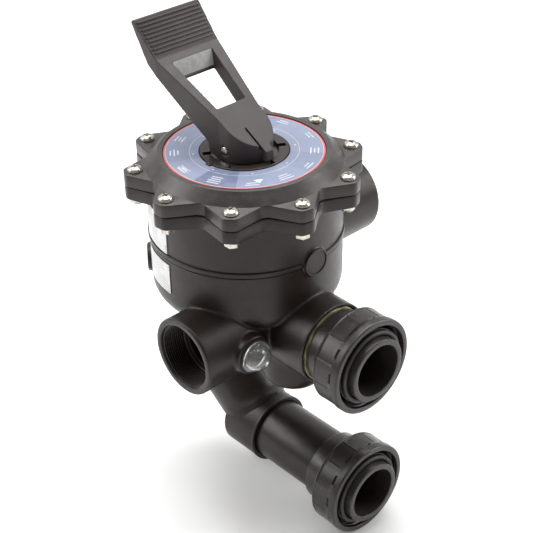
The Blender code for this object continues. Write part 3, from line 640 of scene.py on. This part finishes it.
# ---- unions ------------------------------------------------------------------------------------
def nut_wall(r, h, angle):
    """The union nut's grip: twelve ribs with lowered panels between, and slots behind the front lip."""
    if r < 0.0436:
        return r
    share = (math.degrees(angle) / 30) % 1.0
    rib = max(0.0, 1 - min(share, 1 - share) * 30)
    along = min(1.0, max(0.0, (h - 0.1328) / 0.0008)) * min(1.0, max(0.0, (0.1508 - h) / 0.0008))
    slot = min(1.0, max(0.0, (h - 0.1500) / 0.0004)) * min(1.0, max(0.0, (0.1525 - h) / 0.0004))
    deep = slot * min(1.0, max(0.0, (0.20 - abs(share - 0.5)) / 0.02))
    return r - 0.0005 * along * (1 - rib) - 0.0014 * deep


def unions():
    for side, height in (("upper", UPPER_Z), ("lower", LOWER_Z)):
        place = at(0, 0, height) @ X_AXIS
        corners = [(0.0398, 0.1600, 0.0008), (0.0452, 0.1600, 0.0016), (0.0454, 0.1532, 0.0006),
                   (0.0447, 0.1524, 0.0003), (0.0447, 0.1326, 0.0004), (0.0445, 0.1318, 0.0004),
                   (0.0430, 0.1311, 0.0004), (0.0425, 0.1300, 0.0006),
                   (0.0358, 0.1300, 0.0005), (0.0358, 0.1340, 0), (0.0398, 0.1340, 0)]
        grip = lathe("union_nut", corners, place @ turn(7), 512, nut_wall, 3, 0.0009)
        nut = thing(f"{side}_nut_looks", grip)
        ridge = thread("nut_thread", 0.0398, 0.1395, 0.1585, place, 0.0040, 0.0013, 96)
        threaded = joined(f"{side}_union_nut_looks", [nut.data, ridge])
        bpy.data.objects.remove(nut)
        dress(threaded, UNION, f"{side}_nut", [f"{side}_union_nut"], 28)
        front = [(PIPE_BORE_R, 0.1668, 0.0006), (0.0300, 0.1668, 0.0010), (0.0300, 0.1560, 0.0004),
                 (0.0355, 0.1560, 0.0005), (0.0355, 0.1410, 0), (0.0386, 0.1410, 0.0005), (0.0386, 0.1343, 0)]
        if side == "upper":
            tail = [(0.0352, 0.1343, 0), (0.0352, 0.1145, 0.0012), (PIPE_R, 0.1145, 0), (PIPE_R, 0.0900, 0),
                    (PIPE_BORE_R, 0.0900, 0)]
        else:
            tail = [(0.0342, 0.1343, 0), (0.0342, 0.1120, 0.0010), (SOCKET_R, 0.1120, 0.0006),
                    (SOCKET_R, 0.1393, 0), (PIPE_BORE_R, 0.1393, 0)]
        piece = thing(f"{side}_tailpiece_looks", lathe("tailpiece", front + tail, place, 192, steps=3))
        dress(piece, UNION, "housing", [f"{side}_tailpiece"])
        around = [-2 * math.pi * k / 16 for k in range(16)]
        section = [(0.0328 + 0.0022 * math.cos(a), 0.1585 + 0.0022 * math.sin(a), 0) for a in around]
        oring = thing(f"{side}_oring_looks", lathe("oring", section, place, 160))
        dress(oring, SEAL, "housing", [f"{side}_face_oring"], 60)
    place = at(0, 0, UPPER_Z) @ X_AXIS

    def squeezed(r, h, angle):
        if r < 0.0345:
            return r
        return r - 0.0013 * (0.5 + 0.5 * math.sin(3 * angle + 1.1)) * (0.5 + 0.5 * math.sin(11 * angle))

    section = [(0.0362, 0.1136, 0.0010), (0.0362, 0.1104, 0.0008), (0.0306, 0.1104, 0), (0.0306, 0.1136, 0)]
    wax = lathe("neck_seal", section, place, 240, squeezed)
    dress(thing("neck_seal_looks", wax), WAX, "housing", ["upper_neck_seal"], 60)
    section = [(PIPE_R, 0.1390, 0.0005), (PIPE_R, 0.0122, 0.0005), (PIPE_BORE_R, 0.0122, 0),
               (PIPE_BORE_R, 0.1390, 0)]
    pipe = lathe("pipe", section, at(0, 0, LOWER_Z) @ X_AXIS, 160)
    dress(thing("lower_pipe_looks", pipe), BODY, "housing", ["lower_pipe"])


# ---- handle (pin frame) ------------------------------------------------------------------------
SLOPE = math.tan(math.radians(29.7))
BEND = (-0.0733, 0.0657)
TIP = (-0.0995, 0.0943)
TAB_X, NOSE_X = 0.0335, 0.0280
CAM_R, CAM_X = 0.0090, -0.0092
UPRIGHT = Matrix.Rotation(math.pi / 2, 4, "X")


def face_z(x):
    return BEND[1] - SLOPE * (x - BEND[0])


def side_layer(name, skin):
    """A slab across the handle with the paddle's side outline, drawn in by a skin thickness if asked."""
    drop = skin / math.cos(math.atan(SLOPE))
    front = TAB_X - 0.0110
    if skin:
        outline = arcs([(TIP[0] + 0.004, TIP[1] - 0.0085, 0.001), (BEND[0], BEND[1] - drop, 0.002),
                        (front, face_z(front) - drop, 0.003), (front, -0.030, 0), (-0.080, -0.030, 0),
                        (-0.100, 0.040, 0)])
    else:
        outline = arcs([
            (TIP[0] - 0.0015, TIP[1] + 0.0012, 0.0012), (BEND[0], BEND[1], 0.004),
            (TAB_X, face_z(TAB_X), 0.0010), (TAB_X, -0.0052, 0.0006),
            (NOSE_X + 0.0006, -0.0052, 0), (NOSE_X + 0.0006, -0.0080, 0.0020), (0.0060, -0.0085, 0.0040),
            (CAM_X + 0.002, -CAM_R - 0.0010, 0.0060), (CAM_X - CAM_R, -0.0060, 0.0050),
            (CAM_X - CAM_R, 0.0030, 0.004), (-0.0800, 0.0543, 0.003), (-0.0850, 0.0590, 0.003),
            (TIP[0] - 0.0033, TIP[1] - 0.0020, 0.0010)])
    return prism(name, outline, -0.045, 0.045, UPRIGHT)


def plan(name, inset, low=-0.060, high=0.120):
    nose = [((NOSE_X - inset) * math.cos(a), (0.0232 - inset) * math.sin(a), 0)
            for a in [math.radians(80 - 5 * k) for k in range(14)]]
    tab = [] if inset else [(0.0276, 0.0044, 0), (TAB_X + 0.002, 0.0044, 0)]
    right = [(TIP[0] - 0.006 + inset, 0.0375 - inset, 0.002), (BEND[0], 0.0353 - inset, 0.010),
             (-0.0060, 0.0232 - inset, 0)]
    upper = right + nose + tab
    outline = arcs(upper + [(x, -y, radius) for x, y, radius in reversed(upper)])
    return prism(name, outline, low, high)


def window_room():
    """The finger hole: its top outline on the sloping face, its walls closing in below it."""
    points = []
    for depth in (-0.4, 1.0, 6.0):
        inwards = min(depth, 1.0)
        rear = (-0.0665 + 0.0065 * inwards, 0.0230 - 0.0036 * inwards)
        front = (-0.0155, 0.0165 - 0.0036 * inwards)
        for x, y in ((rear[0], rear[1]), front, (front[0], -front[1]), (rear[0], -rear[1])):
            points.append((x, y, face_z(x) - 0.0115 * depth))
    faces = [(0, 1, 2, 3), (8, 9, 10, 11)]
    for level in (0, 4):
        faces += [(level + k, level + (k + 1) % 4, level + 4 + (k + 1) % 4, level + 4 + k) for k in range(4)]
    return finish_mesh(mesh_of("window_hole", points, faces))


def paddle():
    frame_wall = [(-0.0684, 0.0248), (-0.0138, 0.0186), (-0.0138, -0.0186), (-0.0684, -0.0248)]
    shell = thing("handle_cut", side_layer("handle_side", 0))
    boolean(shell, "INTERSECT", plan("handle_plan", 0))
    hollow = thing("hollow_cut", side_layer("hollow_side", 0.0036))
    boolean(hollow, "INTERSECT", plan("hollow_plan", 0.0042))
    rim = thing("rim_cut", side_layer("rim_side", 0))
    boolean(rim, "INTERSECT", prism("rim_plan", frame_wall, -0.060, 0.120))
    boolean(rim, "DIFFERENCE", side_layer("rim_under", 0.0115))
    boolean(hollow, "DIFFERENCE", rim.data)
    boolean(shell, "DIFFERENCE", hollow.data)
    taper = thing("window_cut", window_room())
    relief = block("tab_relief", (0.0080, -0.0062, 0.0040), (0.0400, -0.0046, 0.0400))
    pin = rod("pin_bore", 0.0048, -0.045, 0.045, Y_AXIS, 48)
    boolean(shell, "DIFFERENCE", taper.data, pin, relief)
    for helper in (hollow, rim, taper):
        bpy.data.objects.remove(helper)
    remesh = shell.modifiers.new("skin", "REMESH")
    remesh.mode = "VOXEL"
    remesh.voxel_size = PADDLE_VOXEL
    soften = shell.modifiers.new("soften", "SMOOTH")
    soften.factor = 0.5
    soften.iterations = 3
    applied(shell)
    start, end = Vector((BEND[0] - 0.002, 0, BEND[1] + 0.002)), Vector((TIP[0], 0, TIP[1]))
    along = (end - start)
    tilt = Matrix.Rotation(-math.atan2(along.z, along.x), 4, "Y")
    ribs = []
    for k in range(9):
        middle = start + along * ((k + 0.55) / 9.4)
        half = 0.0353 + 0.0022 * k / 9 - 0.0026
        low, high = (-0.00085, -half, -0.0012), (0.00085, half, 0.00105)
        ribs.append(block(f"rib_{k}", low, high, at(*middle) @ tilt, 0.0005))
    made = joined("handle_looks", [shell.data, *ribs])
    # The window's rear wall, facing forward, takes the second material: a painted highlight in place of a
    # reflection
    for face in made.data.polygons:
        middle = face.center
        if face.normal.x > 0.80 and -0.0664 < middle.x < -0.0608 and abs(middle.y) < 0.0215:
            face.material_index = 1
    bpy.data.objects.remove(shell)
    dress(made, [GRIP, PAINTED_HIGHLIGHT], "handle", ["handle"], 35, PIVOT)
    pin = thing("handle_pin_looks", rod("pin", 0.0040, -0.0236, 0.0236, Y_AXIS, 48, 0.0007))
    dress(pin, METAL, "rotor", ["handle_pin"], 35, PIVOT)


def carried_over():
    """CAD nodes whose own shape is right get their finish here."""
    finishes = {"lid_oring": SEAL, "stem_oring_1": SEAL, "stem_oring_2": SEAL, "spider_gasket": SEAL,
                "rotor": ROTOR, "rotor_spring": METAL, "spring_washer": METAL, "handle_washer": WASHER,
                "sticker_upper": PAPER, "sticker_lower": PAPER}
    for node, material in finishes.items():
        mesh = frame["nodes"][node].data
        mesh.materials.clear()
        mesh.materials.append(material)


# ---- stage, light and camera -------------------------------------------------------------------
LENS_MM = 84.24
EYE = Vector((0.7349, -0.6403, 0.5121))  # the camera's place, from the spindle
LOOK = Vector((-0.6244, 0.5641, -0.5404))
RIGHT = Vector((0.6773, 0.7356, -0.0147))
BRIGHT_SIDE = (-0.66, 0.57, 0.48)  # the world is white this way and grey the other way


def lamp(name, place, target, size, power, colour=(1, 1, 1)):
    data = bpy.data.lights.new(name, "AREA")
    data.shape = "RECTANGLE"
    data.size, data.size_y = size
    data.energy = power
    data.color = colour
    obj = bpy.data.objects.new(name, data)
    bpy.context.scene.collection.objects.link(obj)
    obj.location = place
    obj.rotation_euler = (Vector(target) - Vector(place)).to_track_quat("-Z", "Y").to_euler()


def stage():
    floor = thing("floor", mesh_of("floor", [(-9, -9, 0), (9, -9, 0), (9, 9, 0), (-9, 9, 0)], [(0, 1, 2, 3)]))
    floor.location = (0, 0, CAD_BOX[0][2] - FLOOR_GAP)
    made = Nodes("floor_white", 0.75)
    made.link(made.ramp(made.noise(3.0), (0.3, 0.93), (0.7, 0.95)), "Base Color")
    floor.data.materials.append(made.material)
    scene = bpy.context.scene
    scene.view_settings.view_transform = "Standard"
    world = bpy.data.worlds.new("studio")
    scene.world = world
    world.use_nodes = True
    tree = world.node_tree
    coordinates = tree.nodes.new("ShaderNodeTexCoord")
    aim = tree.nodes.new("ShaderNodeVectorMath")
    aim.operation = "DOT_PRODUCT"
    aim.inputs[1].default_value = BRIGHT_SIDE
    shade = tree.nodes.new("ShaderNodeValToRGB")
    shade.color_ramp.elements[0].position = 0.0
    shade.color_ramp.elements[0].color = (0.30, 0.29, 0.28, 1)
    shade.color_ramp.elements[1].position = 0.75
    shade.color_ramp.elements[1].color = (1, 1, 1, 1)
    tree.links.new(coordinates.outputs["Generated"], aim.inputs[0])
    tree.links.new(aim.outputs["Value"], shade.inputs["Fac"])
    tree.links.new(shade.outputs["Color"], tree.nodes["Background"].inputs["Color"])
    tree.nodes["Background"].inputs["Strength"].default_value = 0.9
    middle = (-0.12, 0, 0.0)
    lamp("left", (-1.3, -1.1, 1.0), middle, (0.9, 1.3), 20)
    lamp("right", (0.9, 1.6, 0.9), middle, (0.9, 1.4), 24)
    lamp("top", (-0.6, 0.5, 2.0), middle, (1.8, 1.8), 46)


def camera():
    data = bpy.data.cameras.new("view")
    data.lens = LENS_MM
    data.sensor_width = 36.0
    data.clip_end = 50.0
    obj = bpy.data.objects.new("view", data)
    bpy.context.scene.collection.objects.link(obj)
    forward = LOOK.normalized()
    right = (RIGHT - forward * RIGHT.dot(forward)).normalized()
    up = right.cross(forward)
    turned = Matrix((right, up, -forward)).transposed()
    obj.matrix_world = Matrix.Translation(SPINDLE + EYE) @ turned.to_4x4()
    bpy.context.scene.camera = obj


housing()
cover()
dial()
index()
fasteners()
sight()
unions()
paddle()
carried_over()
stage()
camera()
